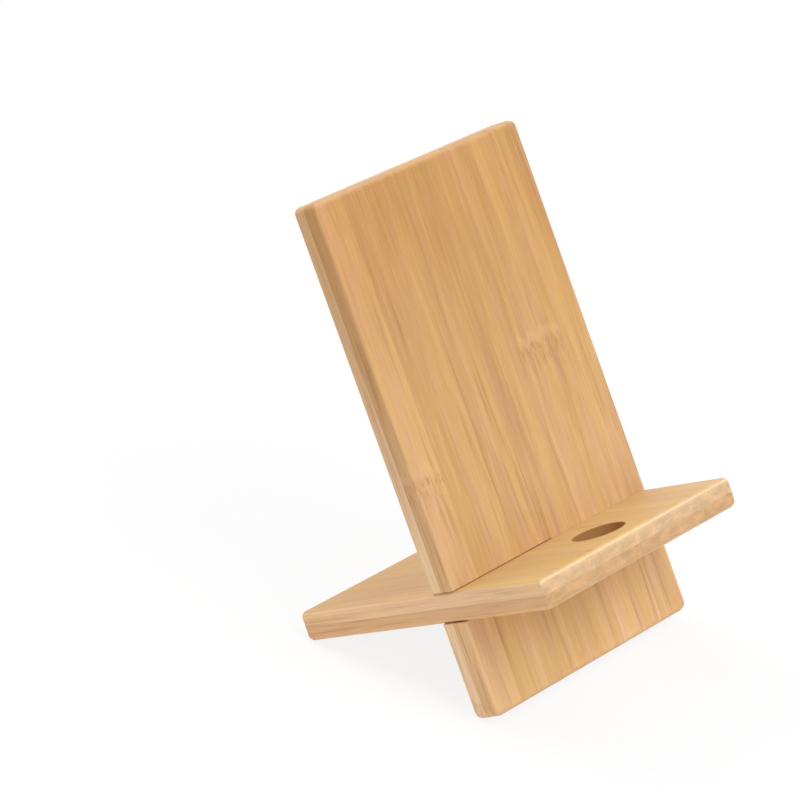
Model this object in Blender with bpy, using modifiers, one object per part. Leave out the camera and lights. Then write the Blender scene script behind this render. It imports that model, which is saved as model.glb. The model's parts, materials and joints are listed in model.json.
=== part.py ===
# Phone stand of two laminated bamboo boards that cross in a halved joint.
# The back panel leans back, the shelf passes through it, and the lower rear edges of both
# boards stand on the table.
# Metres, +Z up, +X to the user's right, front towards -Y.
# Origin: on the table, under the middle of the whole stand.
import math

import bmesh
import bpy
from mathutils import Matrix, Vector

# Back panel
panel_width = 0.080
panel_thickness = 0.009
panel_length = 0.1404
panel_foot = 0.0308  # from its lower end to the middle of its slot

# Shelf: flush with the panel's left side when pushed home
shelf_width = 0.0785
shelf_thickness = 0.0082
shelf_length = 0.0908
shelf_nose = 0.0356  # from its front end to the middle of its slot

# Both boards are two plies pressed together
glue_line = 0.0003  # between the two plies
edge_radius = 0.0018  # roundover of every outer edge and corner

# Round hole through the shelf, in line with the panel's middle
hole_diameter = 0.014
hole_setback = 0.0143  # from the shelf's front end to the hole's centre

# Halved joint
rock_back = math.radians(1.7)  # past square: the slots' play lets the panel lean back
slot_clearance = 0.00025  # at the slots' tightest corners, and between their ends
rim_ease = 0.0004  # sanded rims of the slots and the hole

# Cutters and facets
cutter_overrun = 0.004
roundover_steps = 6
ease_steps = 2
hole_sides = 64
sharp_angle = math.radians(35)

# Finish of the two plies, as linear colour
pale_bamboo = (0.66, 0.42, 0.24)
streaked_bamboo = (0.56, 0.32, 0.15)
bamboo_roughness = 0.5

# A board's own frame: +X across the stand, +Y along the board, +Z out of its upper or
# front face, with its origin where the middle planes of the two boards cross.
half_clearance = slot_clearance / 2
panel_head = panel_length - panel_foot
shelf_tail = shelf_length - shelf_nose
left_side = -panel_width / 2
panel_right = panel_width / 2
shelf_right = left_side + shelf_width


def slot_width(crossing_board, cut_board):
    """Width of a square slot that a board of one thickness crosses askew."""
    askew = crossing_board / math.cos(rock_back)
    return askew + cut_board * math.tan(rock_back) + 2 * slot_clearance


def turned(point, angle):
    """A point of the side view, turned about the crossing."""
    along, out = point
    return Vector(
        (
            along * math.cos(angle) - out * math.sin(angle),
            along * math.sin(angle) + out * math.cos(angle),
        )
    )


def rounding_centres(low, high, thickness):
    """Centres of a board's four end roundings in the side view of its own frame."""
    inner = thickness / 2 - edge_radius
    ends = (low + edge_radius, high - edge_radius)
    return [(end, side) for end in ends for side in (-inner, inner)]


def stance():
    """Angles of the shelf and the panel, and the crossing's place above the table.

    Both boards touch the table with the rounding of their lower rear edge, so the line
    through the centres of these two roundings is level.
    """
    square_less_rock = math.pi / 2 - rock_back
    panel_corners = rounding_centres(-panel_foot, panel_head, panel_thickness)
    shelf_corners = rounding_centres(-shelf_nose, shelf_tail, shelf_thickness)
    panel_contact = turned(panel_corners[0], square_less_rock)
    shelf_contact = Vector(shelf_corners[2])
    rise = shelf_contact - panel_contact
    shelf_angle = -math.atan2(rise.y, rise.x)
    panel_angle = shelf_angle + square_less_rock

    corners = [turned(c, shelf_angle) for c in shelf_corners]
    corners += [turned(c, panel_angle) for c in panel_corners]
    lowest = min(c.y for c in corners) - edge_radius
    middle = (min(c.x for c in corners) + max(c.x for c in corners)) / 2
    return shelf_angle, panel_angle, Vector((0, -middle, -lowest))


def empty(name, location, tilt, parent, collection):
    """An unseen frame that carries pieces; tilt turns it about the world's X."""
    frame = bpy.data.objects.new(name, None)
    frame.location = location
    frame.rotation_euler = (tilt, 0, 0)
    frame.parent = parent
    collection.objects.link(frame)
    return frame


def block_mesh(name, low, high):
    """A box between two corners."""
    low, high = Vector(low), Vector(high)
    mesh = bpy.data.meshes.new(name)
    bm = bmesh.new()
    place = Matrix.Translation((low + high) / 2) @ Matrix.Diagonal((*(high - low), 1))
    bmesh.ops.create_cube(bm, size=1, matrix=place)
    bm.to_mesh(mesh)
    bm.free()
    return mesh


def cylinder_mesh(name, radius, height, centre):
    """A closed cylinder along Z."""
    mesh = bpy.data.meshes.new(name)
    bm = bmesh.new()
    bmesh.ops.create_cone(
        bm,
        cap_ends=True,
        segments=hole_sides,
        radius1=radius,
        radius2=radius,
        depth=height,
        matrix=Matrix.Translation(centre),
    )
    bm.to_mesh(mesh)
    bm.free()
    return mesh


def cutter(mesh, frame, collection):
    """A solid that only cuts: drawn as wire and never rendered."""
    tool = bpy.data.objects.new(mesh.name, mesh)
    tool.parent = frame
    tool.display_type = "WIRE"
    tool.hide_render = True
    collection.objects.link(tool)
    return tool


def boolean(piece, name, operation, tool):
    cut = piece.modifiers.new(name, "BOOLEAN")
    cut.operation = operation
    cut.solver = "EXACT"
    cut.object = tool


def rounded(piece, name, width, steps, above_angle=None):
    """Bevels every edge, or only the edges sharper than an angle."""
    bevel = piece.modifiers.new(name, "BEVEL")
    bevel.width = width
    bevel.segments = steps
    bevel.limit_method = "NONE"
    if above_angle:
        bevel.limit_method = "ANGLE"
        bevel.angle_limit = above_angle


def applied(piece):
    """Turns the piece's modifiers into its mesh and shades its round edges smooth."""
    bpy.context.view_layer.update()
    seen = piece.evaluated_get(bpy.context.evaluated_depsgraph_get())
    mesh = bpy.data.meshes.new_from_object(seen)
    mesh.name = piece.name
    piece.modifiers.clear()
    piece.data = mesh
    mesh.shade_smooth()
    mesh.set_sharp_from_angle(angle=sharp_angle)


def bamboo(name, colour):
    material = bpy.data.materials.new(name)
    material.use_nodes = True
    shader = material.node_tree.nodes["Principled BSDF"]
    shader.inputs["Base Color"].default_value = (*colour, 1)
    shader.inputs["Roughness"].default_value = bamboo_roughness
    shader.inputs["Metallic"].default_value = 0
    material.diffuse_color = (*colour, 1)
    return material


def board(frame, low, high, cuts, plies, parts, cutters):
    """One board as its two plies, cut alike.

    low and high are its corners, cuts the tools that go through it by name, and plies
    gives each ply's name, its side of the glue line and its material.
    """
    blank = block_mesh(frame.name + "_blank", low, high)
    overrun = Vector((cutter_overrun, cutter_overrun, cutter_overrun))
    for name, side, material in plies:
        keep_low, keep_high = low - overrun, high + overrun
        if side > 0:
            keep_low.z = glue_line / 2
        else:
            keep_high.z = -glue_line / 2
        keep = block_mesh(name + "_keep", keep_low, keep_high)
        ply = bpy.data.objects.new(name, blank)
        ply.parent = frame
        parts.objects.link(ply)
        rounded(ply, "roundover", edge_radius, roundover_steps)
        for cut_name, tool in cuts.items():
            boolean(ply, cut_name, "DIFFERENCE", tool)
        rounded(ply, "eased rims", rim_ease, ease_steps, above_angle=sharp_angle)
        boolean(ply, "ply", "INTERSECT", cutter(keep, frame, cutters))
        applied(ply)
        ply.data.materials.clear()
        ply.data.materials.append(material)
    bpy.data.meshes.remove(blank)


def slot_tool(name, frame, from_x, to_x, width, board_thickness, cutters):
    """The cutter of a slot across a board, out through one of its sides."""
    through = board_thickness / 2 + cutter_overrun
    mesh = block_mesh(
        name,
        (from_x, -width / 2, -through),
        (to_x, width / 2, through),
    )
    return cutter(mesh, frame, cutters)


def build():
    for thing in list(bpy.data.objects):
        bpy.data.objects.remove(thing)
    parts = bpy.data.collections.new("phone_holder")
    cutters = bpy.data.collections.new("cutters")
    for collection in (parts, cutters):
        bpy.context.scene.collection.children.link(collection)

    pale = bamboo("bamboo_pale_ply", pale_bamboo)
    streaked = bamboo("bamboo_streaked_ply", streaked_bamboo)

    shelf_angle, panel_angle, crossing_place = stance()
    crossing = empty("crossing", crossing_place, 0, None, parts)
    shelf = empty("shelf", (0, 0, 0), shelf_angle, crossing, parts)
    # The panel pulls out of the shelf along this frame's X
    panel = empty("panel_slide", (0, 0, 0), panel_angle, crossing, parts)

    hole = cylinder_mesh(
        "cable_hole",
        hole_diameter / 2,
        shelf_thickness + 2 * cutter_overrun,
        (0, hole_setback - shelf_nose, 0),
    )
    shelf_slot = slot_tool(
        "shelf_slot",
        shelf,
        -half_clearance,
        shelf_right + cutter_overrun,
        slot_width(panel_thickness, shelf_thickness),
        shelf_thickness,
        cutters,
    )
    panel_slot = slot_tool(
        "panel_slot",
        panel,
        left_side - cutter_overrun,
        half_clearance,
        slot_width(shelf_thickness, panel_thickness),
        panel_thickness,
        cutters,
    )

    board(
        shelf,
        Vector((left_side, -shelf_nose, -shelf_thickness / 2)),
        Vector((shelf_right, shelf_tail, shelf_thickness / 2)),
        {"slot": shelf_slot, "cable hole": cutter(hole, shelf, cutters)},
        [("shelf_top_ply", 1, pale), ("shelf_bottom_ply", -1, streaked)],
        parts,
        cutters,
    )
    board(
        panel,
        Vector((left_side, -panel_foot, -panel_thickness / 2)),
        Vector((panel_right, panel_head, panel_thickness / 2)),
        {"slot": panel_slot},
        [("back_panel_front_ply", 1, streaked), ("back_panel_rear_ply", -1, pale)],
        parts,
        cutters,
    )


build()
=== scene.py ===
import json
import math
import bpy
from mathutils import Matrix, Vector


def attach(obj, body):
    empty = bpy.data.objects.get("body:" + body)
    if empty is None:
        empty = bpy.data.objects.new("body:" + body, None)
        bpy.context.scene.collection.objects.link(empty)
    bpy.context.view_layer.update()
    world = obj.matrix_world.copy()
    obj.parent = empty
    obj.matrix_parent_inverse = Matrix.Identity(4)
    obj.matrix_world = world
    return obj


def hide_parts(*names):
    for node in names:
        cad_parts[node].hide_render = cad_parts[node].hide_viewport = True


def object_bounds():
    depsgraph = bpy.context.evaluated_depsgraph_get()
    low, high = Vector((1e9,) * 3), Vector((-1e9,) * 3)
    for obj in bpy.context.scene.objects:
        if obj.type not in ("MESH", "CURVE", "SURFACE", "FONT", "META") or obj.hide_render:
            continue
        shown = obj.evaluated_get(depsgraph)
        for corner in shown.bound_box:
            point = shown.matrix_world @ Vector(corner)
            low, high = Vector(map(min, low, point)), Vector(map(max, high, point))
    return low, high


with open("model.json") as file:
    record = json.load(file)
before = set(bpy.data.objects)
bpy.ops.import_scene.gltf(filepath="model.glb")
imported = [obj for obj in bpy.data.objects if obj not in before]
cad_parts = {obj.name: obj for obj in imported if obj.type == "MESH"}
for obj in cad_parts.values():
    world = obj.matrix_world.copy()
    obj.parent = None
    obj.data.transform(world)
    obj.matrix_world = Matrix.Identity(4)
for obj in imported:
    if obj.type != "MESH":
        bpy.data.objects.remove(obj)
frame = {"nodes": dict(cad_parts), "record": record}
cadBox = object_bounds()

from types import SimpleNamespace

import bmesh
import bpy
from mathutils import Euler, Matrix, Vector

record = frame["record"]
print("frame loaded:", ", ".join(sorted(frame["nodes"])))

# Two boards of laminated bamboo, each glued up of two plies. Their sizes and places are
# read off the frame, and only what it can't tell is written here, in metres and degrees.
boardShape = {
    "edgeSteps": 10,
    "rimEase": 0.0004,
    "rimSteps": 5,
    "rimAngle": 60,  # the roundovers' own creases are flatter than this
    "slotClearance": 0.00012,
    "glueGap": 0.00001,  # each ply stops this far from the middle of the glue line
    "holeSides": 160,
    "overrun": 0.004,  # how far a cutter reaches past what it cuts
    "sharpAngle": 35,
}
perMetre = 1000  # millimetres, the unit of the printed sizes and of the finish

# Radii of a board's roundovers. Its face is its upper or front side.
panelEdges = {
    "end": 0.0018,
    "face": 0.0009,  # long edges of the face
    "back": 0.0018,  # and of the other side
    "head": 0.0018,  # corners at the far end, seen square to the face
    "foot": 0.0024,  # and at the near end
    "profile": 0.5,  # a quarter circle, less is flatter
}
shelfEdges = {
    "end": 0.0016,
    "face": 0.0010,
    "back": 0.0012,
    "head": 0.0014,
    "foot": 0.0008,
    "profile": 0.36,
}


def named(rows, name):
    return next(row for row in rows if row["name"] == name)


def boardFrame(mountName, nodeNames):
    # a board's own axes: +X across the stand, +Y along the board, +Z out of its face
    out = Vector(named(record["mounts"], mountName)["axis"]).normalized()
    across = Vector((1, 0, 0))
    turn = Matrix((across, out.cross(across), out)).transposed()
    points = [
        turn.transposed() @ vertex.co
        for name in nodeNames
        for vertex in frame["nodes"][name].data.vertices
    ]
    low = Vector([min(point[axis] for point in points) for axis in range(3)])
    high = Vector([max(point[axis] for point in points) for axis in range(3)])
    return {"turn": turn, "low": low, "high": high, "points": points}


panel = boardFrame("back_rest", ["back_panel_front_ply", "back_panel_rear_ply"])
shelf = boardFrame("phone_seat", ["shelf_top_ply", "shelf_bottom_ply"])
panel["edges"] = panelEdges
shelf["edges"] = shelfEdges


def crossingPoint():
    # where the middle planes of both boards meet, in the stand's side view
    planes = []
    for board in (panel, shelf):
        normal = board["turn"].col[2]
        planes.append((normal.y, normal.z, (board["low"].z + board["high"].z) / 2))
    (a, b, c), (d, e, f) = planes
    spread = a * e - b * d
    return Vector((0, (c * e - b * f) / spread, (a * f - c * d) / spread))


crossing = crossingPoint()
for board in (panel, shelf):
    shift = board["turn"].transposed() @ crossing
    board["low"] -= shift
    board["high"] -= shift
    board["points"] = [point - shift for point in board["points"]]
    board["thickness"] = board["high"].z - board["low"].z
    board["place"] = Matrix.Translation(crossing) @ board["turn"].to_4x4()
    size = board["high"] - board["low"]
    print("board size in mm:", [round(length * perMetre, 2) for length in size])


def cableHole():
    # its middle is the middle of the opening's box, its radius that of the frame's rim
    low, high = named(record["physics"]["openings"], "cable_hole_through")["box_m"]
    middle = shelf["place"].inverted() @ ((Vector(low) + Vector(high)) / 2)
    radius = min((point - middle).to_2d().length for point in shelf["points"])
    return middle, radius


def blockObject(name, low, high):
    low, high = Vector(low), Vector(high)
    mesh = bpy.data.meshes.new(name)
    bm = bmesh.new()
    place = Matrix.Translation((low + high) / 2) @ Matrix.Diagonal((*(high - low), 1))
    bmesh.ops.create_cube(bm, size=1, matrix=place)
    bm.to_mesh(mesh)
    bm.free()
    thing = bpy.data.objects.new(name, mesh)
    bpy.context.scene.collection.objects.link(thing)
    return thing


def holeObject(name):
    middle, radius = cableHole()
    where = [round(value * perMetre, 2) for value in middle]
    print("hole in mm:", round(2 * radius * perMetre, 2), "across, at", where)
    mesh = bpy.data.meshes.new(name)
    bm = bmesh.new()
    bmesh.ops.create_cone(
        bm,
        cap_ends=True,
        segments=boardShape["holeSides"],
        radius1=radius,
        radius2=radius,
        depth=shelf["thickness"] + 2 * boardShape["overrun"],
        matrix=Matrix.Translation(middle),
    )
    bm.to_mesh(mesh)
    bm.free()
    thing = bpy.data.objects.new(name, mesh)
    bpy.context.scene.collection.objects.link(thing)
    return thing


def slotObject(name, fromX, toX, crossingBoard, cutBoard):
    # as the crossing board lies, with a little play above and below it
    reach = cutBoard["thickness"] / 2 + boardShape["overrun"]
    half = crossingBoard["thickness"] / 2 + boardShape["slotClearance"]
    slot = blockObject(name, (fromX, -reach, -half), (toX, reach, half))
    slot.data.transform(cutBoard["place"].inverted() @ crossingBoard["place"])
    return slot


def edgeRadius(edges, start, end):
    # the ends' edges run across the stand, the long ones along the board, and the
    # corners' through it
    run = end - start
    if abs(run.x) > edges["end"]:
        return edges["end"]
    if abs(run.y) > edges["end"]:
        return edges["face"] if start.z > 0 else edges["back"]
    return edges["foot"] if start.y < 0 else edges["head"]


def addRoundover(piece, edges):
    # an edge's weight is its own radius as a share of the widest
    widest = max(edges[name] for name in ("end", "face", "back", "head", "foot"))
    mesh = piece.data
    weights = mesh.attributes.new("bevel_weight_edge", "FLOAT", "EDGE")
    for edge in mesh.edges:
        start, end = [mesh.vertices[index].co for index in edge.vertices]
        weights.data[edge.index].value = edgeRadius(edges, start, end) / widest
    bevel = piece.modifiers.new("roundover", "BEVEL")
    bevel.width = widest
    bevel.segments = boardShape["edgeSteps"]
    bevel.profile = edges["profile"]
    bevel.limit_method = "WEIGHT"


def addEase(piece):
    bevel = piece.modifiers.new("eased rims", "BEVEL")
    bevel.width = boardShape["rimEase"]
    bevel.segments = boardShape["rimSteps"]
    bevel.limit_method = "ANGLE"
    bevel.angle_limit = math.radians(boardShape["rimAngle"])


def addCut(piece, tool, operation):
    cut = piece.modifiers.new("cut", "BOOLEAN")
    cut.operation = operation
    cut.solver = "EXACT"
    cut.object = tool


def bakeModifiers(piece, place):
    bpy.context.view_layer.update()
    seen = piece.evaluated_get(bpy.context.evaluated_depsgraph_get())
    mesh = bpy.data.meshes.new_from_object(seen)
    piece.modifiers.clear()
    piece.data = mesh
    mesh.transform(place)
    mesh.shade_smooth()
    mesh.set_sharp_from_angle(angle=math.radians(boardShape["sharpAngle"]))
    # flat faces keep their own normal, so that they don't shade like pillows
    weighted = piece.modifiers.new("even shading", "WEIGHTED_NORMAL")
    weighted.keep_sharp = True
    weighted.weight = 100


def plyObject(node, board, side, tools):
    overrun = Vector((boardShape["overrun"],) * 3)
    piece = blockObject(node + "_bamboo", board["low"], board["high"])
    keepLow, keepHigh = board["low"] - overrun, board["high"] + overrun
    if side > 0:
        keepLow.z = boardShape["glueGap"]
    else:
        keepHigh.z = -boardShape["glueGap"]
    keep = blockObject("keep", keepLow, keepHigh)
    addRoundover(piece, board["edges"])
    for tool in tools:
        addCut(piece, tool, "DIFFERENCE")
    addEase(piece)
    addCut(piece, keep, "INTERSECT")
    bakeModifiers(piece, board["place"])
    bpy.data.objects.remove(keep)
    return piece


# Shader maths: a Wire is a socket that can be added, multiplied and so on
class Wire:
    def __init__(self, socket):
        self.socket = socket
        self.tree = socket.id_data

    def make(self, kind, settings, sockets, out=0):
        node = self.tree.nodes.new(kind)
        for name, value in settings.items():
            setattr(node, name, value)
        for name, value in sockets.items():
            if isinstance(value, Wire):
                self.tree.links.new(value.socket, node.inputs[name])
            else:
                node.inputs[name].default_value = value
        return Wire(node.outputs[out])

    def maths(self, operation, *values):
        sockets = dict(enumerate(values))
        return self.make("ShaderNodeMath", {"operation": operation}, sockets)

    def __add__(self, other):
        return self.maths("ADD", self, other)

    def __sub__(self, other):
        return self.maths("SUBTRACT", self, other)

    def __rsub__(self, other):
        return self.maths("SUBTRACT", other, self)

    def __mul__(self, other):
        return self.maths("MULTIPLY", self, other)

    def __truediv__(self, other):
        return self.maths("DIVIDE", self, other)

    def __rtruediv__(self, other):
        return self.maths("DIVIDE", other, self)

    def __abs__(self):
        return self.maths("ABSOLUTE", self)

    __radd__ = __add__
    __rmul__ = __mul__

    def floor(self):
        return self.maths("FLOOR", self)

    def sine(self):
        return self.maths("SINE", self)

    def wrapped(self, low, high):
        return self.maths("WRAP", self, high, low)

    def rise(self, low, high):
        # smooth rise from 0 at low to 1 at high
        sockets = {0: self, 1: low, 2: high}
        return self.make("ShaderNodeMapRange", {"interpolation_type": "SMOOTHSTEP"}, sockets)

    def fall(self, low, high):
        return 1 - self.rise(low, high)

    def distance(self, point):
        settings = {"operation": "DISTANCE"}
        return self.make("ShaderNodeVectorMath", settings, {0: self, 1: point}, out=1)

    def limited(self):
        return self.maths("MINIMUM", self.maths("MAXIMUM", self, 0.0), 1.0)

    def parts(self):
        split = self.make("ShaderNodeSeparateXYZ", {}, {0: self}).socket.node
        return [Wire(socket) for socket in split.outputs]


def vector(x, y, z):
    anyWire = next(v for v in (x, y, z) if isinstance(v, Wire))
    return anyWire.make("ShaderNodeCombineXYZ", {}, {0: x, 1: y, 2: z})


def noise(place, detail, roughness):
    sockets = {"Vector": place, "Scale": 1.0, "Detail": detail, "Roughness": roughness}
    return place.make("ShaderNodeTexNoise", {"noise_dimensions": "3D"}, sockets)


def grains(place):
    # distance to the middle of the nearest grain
    settings = {"voronoi_dimensions": "3D", "feature": "F1"}
    return place.make("ShaderNodeTexVoronoi", settings, {"Vector": place, "Scale": 1.0})


def luck(number):
    # three chances, from 0 to 1, for each whole number
    settings = {"noise_dimensions": "1D"}
    return number.make("ShaderNodeTexWhiteNoise", settings, {"W": number}, out=1).parts()


def rgba(colour):
    return (*colour, 1)


def mixed(mask, first, second):
    # second over first, as far as the mask says
    sockets = {0: mask}
    for slot, colour in ((6, first), (7, second)):
        sockets[slot] = colour if isinstance(colour, Wire) else rgba(colour)
    settings = {"data_type": "RGBA", "blend_type": "MIX"}
    return mask.make("ShaderNodeMix", settings, sockets, out=2)


def shaded(colour, level):
    return colour.make("ShaderNodeVectorMath", {"operation": "SCALE"}, {0: colour, "Scale": level})


def tinted(colour, tint):
    return colour.make("ShaderNodeVectorMath", {"operation": "MULTIPLY"}, {0: colour, 1: tint})


# Finish of one ply. Lengths are in millimetres in the board's own frame, colours linear.
# A ply is of strips of cane side by side, with the cane's skin side towards the glue line.
frontPly = {
    "slot": "streaked_bamboo",
    "stripWidth": 20.0,
    "stripPhase": 0.45,
    "lightTone": (0.705, 0.400, 0.175),
    "darkTone": (0.585, 0.315, 0.125),
    "paleTone": (0.770, 0.485, 0.240),
    "streakTone": (0.390, 0.165, 0.070),
    "sawnTone": (0.625, 0.382, 0.195),
    "edgeHighlightTone": (0.920, 0.720, 0.480),  # painted highlight on the sanded upper edge of the ends
    "edgeHighlightDepth": 0.3,
    "headShadeTint": (0.95, 0.91, 0.83),  # painted shade at the board's head
    "footLightTint": (1.13, 1.26, 1.46),  # painted light at its foot
    "flankLightTint": (1.01, 1.01, 0.96),  # painted light on the long sides
    "flankShadeSpare": 0.0,  # how far the head's painted shade leaves them out
    "lineDepth": 0.55,
    "threadDepth": 0.44,
    "skinDepth": 0.55,
    "bundleDepth": 0.10,
    "fineDepth": 0.30,
    "nodeStart": 199.0,
    "nodeShift": 83.0,
    "nodeDepth": 0.50,
    "roughness": 0.50,
    "specular": 0.2,
    "relief": 0.00003,  # of the bump, in metres
    "seed": 3.0,
}

rearPly = dict(
    frontPly,
    slot="pale_bamboo",
    stripPhase=0.31,
    lightTone=(0.805, 0.510, 0.262),
    darkTone=(0.735, 0.447, 0.218),
    paleTone=(0.840, 0.570, 0.320),
    sawnTone=(0.665, 0.415, 0.212),
    lineDepth=0.34,
    threadDepth=0.20,
    skinDepth=0.10,
    bundleDepth=0.08,
    nodeStart=140.0,
    nodeDepth=0.4,
    seed=11.0,
)

shelfTopPly = dict(
    rearPly,
    stripPhase=0.55,
    lightTone=(0.830, 0.522, 0.246),
    darkTone=(0.748, 0.450, 0.196),
    paleTone=(0.850, 0.570, 0.300),
    sawnTone=(0.690, 0.456, 0.276),
    # a strong painted highlight on the front end's upper edge
    edgeHighlightDepth=2.6,
    # painted shade at the rear of the shelf, behind the panel
    headShadeTint=(0.85, 0.84, 0.79),
    footLightTint=(0.98, 1.05, 1.05),
    # painted light on the long sides, which the rear's painted shade leaves out
    flankLightTint=(1.08, 1.05, 1.20),
    flankShadeSpare=0.9,
    lineDepth=0.28,
    threadDepth=0.26,
    nodeStart=20.0,
    seed=23.0,
)

shelfBottomPly = dict(
    frontPly,
    stripPhase=0.81,
    lightTone=(0.785, 0.465, 0.225),
    darkTone=(0.685, 0.390, 0.175),
    headShadeTint=(1.0, 1.0, 1.0),
    footLightTint=(1.0, 1.0, 1.0),
    flankLightTint=(1.01, 1.03, 1.02),
    lineDepth=0.44,
    nodeStart=226.0,
    seed=37.0,
)

boredTone = (0.395, 0.182, 0.062)  # of the hole's wall, partly its own darker cut fibres, partly painted shade

# What all plies share. Lengths are in millimetres, and a pair says where a look starts and
# where it is full, or where it is full and where it ends.
cane = {
    "sawnEnd": (1.1, 0.2),  # inwards from a board's ends
    "flank": (0.8, 0.1),  # inwards from its long sides
    "boreEdge": 0.1,  # softness of the bored wall's edge
    "skin": (1.0, 4.3),  # outwards from the glue line, the cane's skin side
    "highlightRim": (1.6, 3.4),  # the same way, the painted highlight on the ends' upper edge
    "stripSwing": 0.1,  # how unequal the strips' widths are
    "stripBeat": 2.3,  # how soon they change, from strip to strip
    "stripSlide": 37.0,  # how far one strip's grain is shifted against the next
    "nodeSpan": (-45.0, 185.0),  # stretch along the board in which a strip's node falls
    "nodeRipple": 9.0,
    "nodeSwell": (0.0, 8.0),  # either way from the node
    "wander": 2.2,
    "bulge": 1.6,  # of the fibres at the node, across the board
    "bulgeThrough": 0.8,  # and through it
    "nodeFoot": (-1.0, 2.0),  # downwards from the node, where dark fibres gather
    "nodeTail": (5.0, 45.0),
    "paleBand": (0.4, 2.0),  # either way from its middle
    "paleBandAt": 2.4,  # above the node
    "strokesFrom": (-9.0, -3.0),
    "strokesTo": (-0.5, 1.5),
    "scar": (0.05, 0.45),
    "stripJoint": (0.04, 0.16),
    "plyJoint": (0.03, 0.13),
    "breaksLevel": 5.0,  # where the breaks in the plies' joint are read
    "hueShift": 7.0,  # keeps the drift of hue off the other patterns
    "yellowTint": (1.0, 1.015, 0.92),
    "pinkTint": (1.0, 0.985, 1.07),
}

# Patterns of the cane. Scales say how often one changes per millimetre across the board,
# along it and through it, and shows between which of its values it comes up.
patterns = {
    "ripple": {"scales": (0.42, 0.0, 0.42)},
    "wander": {"scales": (0.06, 0.022, 0.06), "detail": 1.0},
    "bulge": {"scales": (0.5, 0.12, 0.5), "detail": 1.0},
    "broad": {"scales": (0.13, 0.007, 0.30), "shows": (0.28, 0.72)},
    "patch": {"scales": (0.36, 0.026, 0.5), "detail": 1.0, "shows": (0.44, 0.66)},
    "hue": {"scales": (0.22, 0.02, 0.3), "detail": 1.0, "shows": (0.35, 0.65)},
    "fibres": {
        "scales": (0.9, 0.035, 1.3),
        "detail": 3.0,
        "roughness": 0.55,
        "shows": (0.50, 0.74),
        "pale": (0.30, 0.48),  # and between which the fibres turn pale
    },
    "threads": {"scales": (2.1, 0.012, 1.6), "detail": 1.0, "shows": (0.60, 0.74)},
    "bundles": {"scales": (1.25, 0.045, 1.25), "shows": (0.12, 0.34)},
    "fine": {"scales": (3.3, 0.10, 3.3), "roughness": 0.6},
    "strokes": {"scales": (2.6, 0.26, 2.6), "shows": (0.52, 0.66)},
    "scar": {"scales": (1.4, 0.0, 1.4), "shows": (0.50, 0.66)},
    "blotch": {"scales": (0.26, 0.3, 0.5), "detail": 3.0, "shows": (0.28, 0.72)},
    "pores": {"scales": (1.5, 1.5, 1.5), "shows": (0.10, 0.45)},
    "breaks": {"scales": (0.12, 0.05, 0.0), "detail": 1.0, "shows": (0.40, 0.62)},
}


def boardPlace(tree, board):
    # millimetres in the board's own frame
    start = Wire(tree.nodes.new("ShaderNodeTexCoord").outputs["Object"])
    sockets = {
        "Vector": start,
        "Location": crossing,
        "Rotation": board["turn"].to_euler(),
        "Scale": (1 / perMetre,) * 3,
    }
    return start.make("ShaderNodeMapping", {"vector_type": "TEXTURE"}, sockets).parts()


def nearEdge(board, axis, place, fromEdge, toEdge):
    # 0 inside the board, rising to 1 towards both of its edges along an axis
    low, high = board["low"][axis] * perMetre, board["high"][axis] * perMetre
    middle = (low + high) / 2
    half = (high - low) / 2
    return abs(place - middle).rise(half - fromEdge, half - toEdge)


def boredWall(x, y):
    # 1 on the hole's wall and its eased rim
    middle, radius = cableHole()
    axis = (middle.x * perMetre, middle.y * perMetre, 0.0)
    fromAxis = vector(x, y, 0.0).distance(axis)
    rim = (radius + boardShape["rimEase"]) * perMetre
    return fromAxis.fall(rim - cane["boreEdge"], rim + cane["boreEdge"])


def stretched(place, name, offset):
    # where a pattern is read: a place in millimetres, scaled and moved
    sockets = {0: place, 1: patterns[name]["scales"], 2: offset}
    return place.make("ShaderNodeVectorMath", {"operation": "MULTIPLY_ADD"}, sockets)


def pattern(place, name, offset):
    detail = patterns[name].get("detail", 2.0)
    roughness = patterns[name].get("roughness", 0.5)
    return noise(stretched(place, name, offset), detail, roughness)


def shown(place, name, offset):
    return pattern(place, name, offset).rise(*patterns[name]["shows"])


def dotted(place, name, offset):
    return grains(stretched(place, name, offset)).fall(*patterns[name]["shows"])


def readSpot(tree, board, look):
    # where a point lies on its board, in its strip of cane and against the cane's node
    x, y, z = boardPlace(tree, board)
    place = vector(x, y, z)
    seed = look["seed"]
    spot = SimpleNamespace(seed=seed)
    spot.sawn = nearEdge(board, 1, y, *cane["sawnEnd"])
    spot.flank = nearEdge(board, 0, x, *cane["flank"])
    spot.bored = boredWall(x, y) if board is shelf else None
    spot.alongBoard = y.rise(board["low"].y * perMetre, board["high"].y * perMetre)

    # the strips are a little unequal in width
    along = x / look["stripWidth"] + look["stripPhase"]
    along = along + (along * cane["stripBeat"] + seed).sine() * cane["stripSwing"]
    strip = along.floor()
    spot.within = along - strip
    spot.toneLuck, spot.lineLuck, spot.jointLuck = luck(strip + seed)
    slide = strip * cane["stripSlide"] + seed
    spot.slide = vector(0.0, slide, 0.0)
    spot.hueSlide = vector(cane["hueShift"], slide, 0.0)

    # the node is at another height in each strip, and in some not at all
    nodeAt = (strip * look["nodeShift"] + look["nodeStart"]).wrapped(*cane["nodeSpan"])
    ripple = pattern(place, "ripple", spot.slide) - 0.5
    spot.above = y - nodeAt - ripple * cane["nodeRipple"]
    swell = abs(spot.above).fall(*cane["nodeSwell"])

    # fibres wander a little along the board, and bulge at the node
    wander = pattern(place, "wander", (0.0, 0.0, seed)) - 0.5
    bulge = (pattern(place, "bulge", (0.0, 0.0, seed)) - 0.5) * swell
    across = x + wander * cane["wander"] + bulge * cane["bulge"]
    spot.through = z + bulge * cane["bulgeThrough"]
    spot.place = vector(across, y, spot.through)
    spot.nearSkin = abs(spot.through).fall(*cane["skin"])
    return spot


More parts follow.
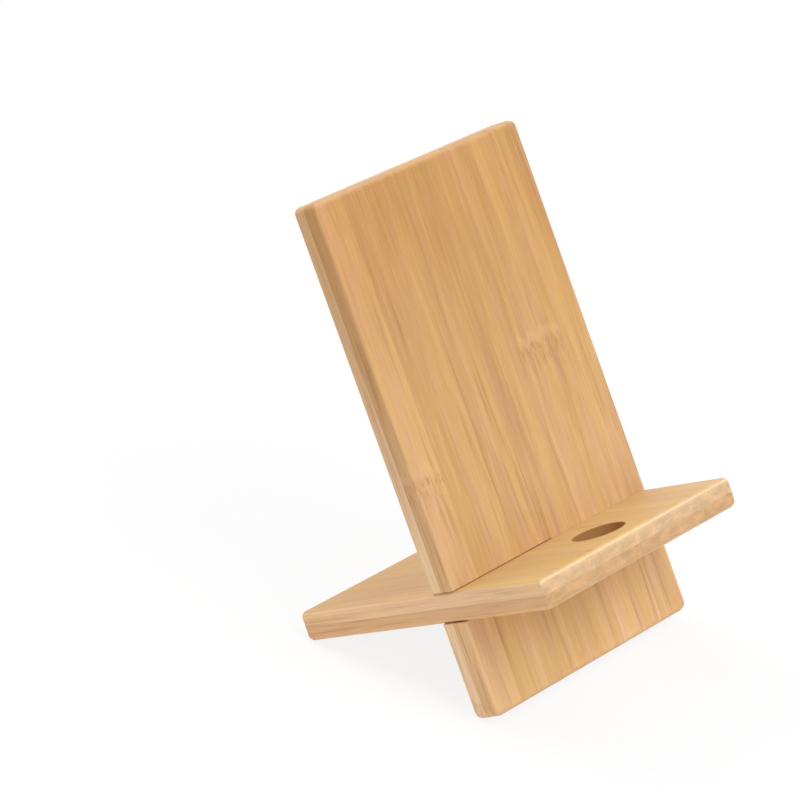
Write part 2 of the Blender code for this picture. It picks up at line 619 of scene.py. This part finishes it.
def caneTone(spot, look, fibres):
    broad = shown(spot.place, "broad", spot.slide)
    hue = shown(spot.place, "hue", spot.hueSlide)
    # the long sides are pushed towards the pink tint, a painted light
    hue = (hue + spot.flank * 0.5).limited()
    tone = mixed(spot.toneLuck * 0.35 + broad * 0.65, look["lightTone"], look["darkTone"])
    tone = mixed(spot.nearSkin * look["skinDepth"] * 0.6, tone, look["darkTone"])
    pale = fibres.fall(*patterns["fibres"]["pale"])
    tone = mixed(pale * 0.25, tone, look["paleTone"])
    # painted shade towards the board's head and painted light towards its foot
    towardsHead = spot.alongBoard * (1 - spot.flank * look["flankShadeSpare"])
    tone = tinted(tone, mixed(towardsHead, look["footLightTint"], look["headShadeTint"]))
    # painted light on the long sides
    tone = tinted(tone, mixed(spot.flank, (1.0, 1.0, 1.0), look["flankLightTint"]))
    return tinted(tone, mixed(hue, cane["yellowTint"], cane["pinkTint"]))


def caneLines(spot, look, fibres):
    # dark lines of fibre in patches, near the cane's skin and below a node, and thin
    # threads in the same patches
    patched = shown(spot.place, "patch", spot.slide)
    down = spot.above * -1.0
    below = down.rise(*cane["nodeFoot"]) * down.fall(*cane["nodeTail"])
    crowd = 0.08 + patched * 0.5 + spot.nearSkin * 0.6 + below * spot.lineLuck * 0.5
    lines = fibres.rise(*patterns["fibres"]["shows"]) * crowd + patched * 0.20
    threads = shown(spot.place, "threads", spot.slide) * (patched * 0.8 + 0.2)
    return (lines * look["lineDepth"] + threads * look["threadDepth"]).limited()


def nodeMarks(spot, look):
    # a broken scar and short strokes below it
    strokes = shown(spot.place, "strokes", spot.slide)
    strokes = strokes * spot.above.rise(*cane["strokesFrom"]) * spot.above.fall(*cane["strokesTo"])
    scar = abs(spot.above).fall(*cane["scar"]) * shown(spot.place, "scar", spot.slide)
    return (strokes + scar * 0.6).limited() * look["nodeDepth"]


def sawnFace(spot, look, tone):
    # softly blotched, with the fibres' pores
    blotch = shown(spot.place, "blotch", (spot.seed, 0.0, 0.0))
    pores = dotted(spot.place, "pores", (0.0, 0.0, 0.0)) * (spot.nearSkin * 0.06 + 0.12)
    face = mixed(pores, mixed(blotch * 0.15, look["sawnTone"], tone), look["streakTone"])
    return shaded(face, 1 + (blotch - 0.5) * 0.25)


def stripJoints(spot, look):
    fromJoint = spot.within.maths("MINIMUM", spot.within, 1 - spot.within) * look["stripWidth"]
    return fromJoint.fall(*cane["stripJoint"]) * (spot.jointLuck * 0.2 + 0.06)


def plyJoint(spot):
    breaks = shown(spot.place, "breaks", (0.0, 0.0, cane["breaksLevel"]))
    return abs(spot.through).fall(*cane["plyJoint"]) * (breaks * 0.3 + 0.12)


def bamboo(name, board, look):
    material = bpy.data.materials.new(name)
    material.use_nodes = True
    tree = material.node_tree
    shader = tree.nodes["Principled BSDF"]
    spot = readSpot(tree, board, look)
    fibres = pattern(spot.place, "fibres", spot.slide)
    fine = pattern(spot.place, "fine", spot.slide)

    tone = caneTone(spot, look, fibres)
    lines = caneLines(spot, look, fibres)
    dots = dotted(spot.place, "bundles", spot.slide) * look["bundleDepth"]
    colour = mixed(lines, tone, look["streakTone"])
    colour = mixed(dots, colour, look["streakTone"])

    # a node has a pale wavy band above its marks
    paleBand = abs(spot.above - cane["paleBandAt"]).fall(*cane["paleBand"])
    marks = nodeMarks(spot, look)
    colour = mixed(paleBand * 0.3, colour, look["paleTone"])
    colour = mixed(marks, colour, look["streakTone"])

    # sawn ends show their sawn face, with a painted highlight on their sanded upper edge
    colour = mixed(spot.sawn * 0.85, colour, sawnFace(spot, look, tone))
    upper = spot.through.rise(*cane["highlightRim"]) * look["edgeHighlightDepth"]
    colour = mixed(spot.sawn * (1 - spot.sawn) * upper, colour, look["edgeHighlightTone"])

    joints = stripJoints(spot, look)
    seams = ((joints + plyJoint(spot)) * (1 - spot.sawn * 0.9)).limited()
    colour = mixed(seams, colour, look["streakTone"])
    # the hole's wall is darker, partly its own tone and partly painted shade
    if spot.bored:
        colour = mixed(spot.bored, colour, boredTone)
    colour = shaded(colour, 1 + (fine - 0.5) * look["fineDepth"])

    roughness = fine * 0.12 + (look["roughness"] - 0.06)
    height = fine * 0.5 - lines * 0.5 - dots * 0.6 - marks * 0.5 - joints
    sockets = {"Strength": 1.0, "Distance": look["relief"], "Height": height}
    bump = height.make("ShaderNodeBump", {}, sockets)
    for socket, value in (("Base Color", colour), ("Roughness", roughness), ("Normal", bump)):
        tree.links.new(value.socket, shader.inputs[socket])
    shader.inputs["Specular IOR Level"].default_value = look["specular"]
    shader.inputs["Metallic"].default_value = 0
    return material


def dressedPly(node, board, side, look, tools):
    piece = plyObject(node, board, side, tools)
    piece.data.materials.clear()
    piece.data.materials.append(bamboo(node + "_finish", board, look))
    body = next(b for b, nodes in record["behaviour"]["bodies"].items() if node in nodes)
    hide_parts(node)
    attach(piece, body)
    print("made", piece.name, "with", len(piece.data.polygons), "faces")
    return piece


halfClearance = boardShape["slotClearance"] / 2
overrun = boardShape["overrun"]
panelSlot = slotObject("panelSlot", panel["low"].x - overrun, halfClearance, shelf, panel)
shelfSlot = slotObject("shelfSlot", -halfClearance, shelf["high"].x + overrun, panel, shelf)
hole = holeObject("cableHole")
dressedPly("back_panel_front_ply", panel, 1, frontPly, [panelSlot])
dressedPly("back_panel_rear_ply", panel, -1, rearPly, [panelSlot])
dressedPly("shelf_top_ply", shelf, 1, shelfTopPly, [shelfSlot, hole])
dressedPly("shelf_bottom_ply", shelf, -1, shelfBottomPly, [shelfSlot, hole])
for tool in (panelSlot, shelfSlot, hole):
    bpy.data.objects.remove(tool)


# Studio: a white floor that runs into a white surround, and large soft lamps
studio = {
    "floorSize": 12.0,
    "floorColour": (0.93, 0.93, 0.93),
    "floorLift": 0.86,  # how much of the floor's look is plain white
    "whiteEdge": (0.25, 0.50),  # from where to where the rest of it turns white too
    "sheetEdge": (0.16, 0.34),  # from where to where the floor's bounced light fades
    "beyondSheet": (0.35, 0.35, 0.35),
    "surround": (0.97, 0.985, 1.0),
    "surroundLevel": 0.05,
}

lamps = [
    {"name": "front", "place": (0.0, -0.9, 1.2), "size": 0.8, "power": 10.2, "colour": (0.97, 1.0, 0.97)},
    {"name": "low", "place": (-0.3, -1.4, 0.25), "size": 0.8, "power": 5.8, "colour": (1.0, 0.97, 0.91)},
    {"name": "left", "place": (-1.35, -0.25, 0.55), "size": 1.0, "power": 7.4, "colour": (0.86, 0.89, 1.0)},
    {"name": "right", "place": (1.2, -0.3, 1.0), "size": 0.8, "power": 6.8, "colour": (0.90, 0.92, 1.0)},
    {"name": "rear", "place": (0.0, 1.1, 1.1), "size": 1.0, "power": 14.1, "colour": (1.0, 1.0, 1.0)},
    {"name": "overhead", "place": (0.0, 0.0, 1.6), "size": 1.1, "power": 4.7, "colour": (1.0, 0.98, 0.93)},
]


def seenAsWhite(tree):
    # 1 for what the camera, a mirror or a glass sees, 0 for light that falls on things
    path = tree.nodes.new("ShaderNodeLightPath")
    camera, glossy, through = (
        Wire(path.outputs[name])
        for name in ("Is Camera Ray", "Is Glossy Ray", "Is Transmission Ray")
    )
    return (camera + glossy + through).limited()


def makeFloor():
    mesh = bpy.data.meshes.new("floor")
    bm = bmesh.new()
    bmesh.ops.create_grid(bm, x_segments=1, y_segments=1, size=studio["floorSize"] / 2)
    bm.to_mesh(mesh)
    bm.free()
    floor = bpy.data.objects.new("floor", mesh)
    bpy.context.scene.collection.objects.link(floor)
    material = bpy.data.materials.new("white_floor")
    material.use_nodes = True
    tree = material.node_tree
    tree.nodes.clear()
    seen = seenAsWhite(tree)
    # light bounces up from a white sheet under the stand, and less from around it
    start = Wire(tree.nodes.new("ShaderNodeTexCoord").outputs["Object"])
    away = start.make("ShaderNodeVectorMath", {"operation": "LENGTH"}, {0: start}, out=1)
    beyond = away.rise(*studio["sheetEdge"]) * (1 - seen)
    colour = mixed(beyond, studio["floorColour"], studio["beyondSheet"])
    matt = seen.make("ShaderNodeBsdfDiffuse", {}, {"Color": colour})
    white = seen.make("ShaderNodeEmission", {}, {"Color": rgba((1, 1, 1)), "Strength": 1.0})
    lift = away.rise(*studio["whiteEdge"]) * (1 - studio["floorLift"]) + studio["floorLift"]
    mix = seen.make("ShaderNodeMixShader", {}, {0: seen * lift, 1: matt, 2: white})
    output = tree.nodes.new("ShaderNodeOutputMaterial")
    tree.links.new(mix.socket, output.inputs["Surface"])
    mesh.materials.append(material)


def makeSurround():
    world = bpy.data.worlds.new("surround")
    bpy.context.scene.world = world
    world.use_nodes = True
    tree = world.node_tree
    tree.nodes.clear()
    seen = seenAsWhite(tree)
    light = {"Color": rgba(studio["surround"]), "Strength": studio["surroundLevel"]}
    lit = seen.make("ShaderNodeBackground", {}, light)
    white = seen.make("ShaderNodeBackground", {}, {"Color": rgba((1, 1, 1)), "Strength": 1.0})
    mix = seen.make("ShaderNodeMixShader", {}, {0: seen, 1: lit, 2: white})
    output = tree.nodes.new("ShaderNodeOutputWorld")
    tree.links.new(mix.socket, output.inputs["Surface"])


def makeLamps():
    aim = (cadBox[0] + cadBox[1]) / 2
    for lamp in lamps:
        light = bpy.data.lights.new(lamp["name"], "AREA")
        light.shape = "SQUARE"
        light.size = lamp["size"]
        light.energy = lamp["power"]
        light.color = lamp["colour"]
        thing = bpy.data.objects.new(lamp["name"], light)
        thing.location = lamp["place"]
        thing.rotation_euler = (aim - thing.location).to_track_quat("-Z", "Y").to_euler()
        bpy.context.scene.collection.objects.link(thing)


# The photograph's viewing angle, worked out from the boards' outlines
cameraView = {
    "place": (-0.74927, -0.58352, 0.54455),
    "turn": (63.3469, -2.0474, -49.2107),
    "lens": 183.3,
    "sensor": 36.0,
}


def makeCamera():
    data = bpy.data.cameras.new("camera")
    data.sensor_width = cameraView["sensor"]
    data.lens = cameraView["lens"]
    camera = bpy.data.objects.new("camera", data)
    camera.location = cameraView["place"]
    camera.rotation_euler = Euler([math.radians(angle) for angle in cameraView["turn"]])
    bpy.context.scene.collection.objects.link(camera)
    bpy.context.scene.camera = camera


makeFloor()
makeSurround()
makeLamps()
makeCamera()
bpy.context.scene.view_settings.view_transform = "Standard"
print("studio ready")
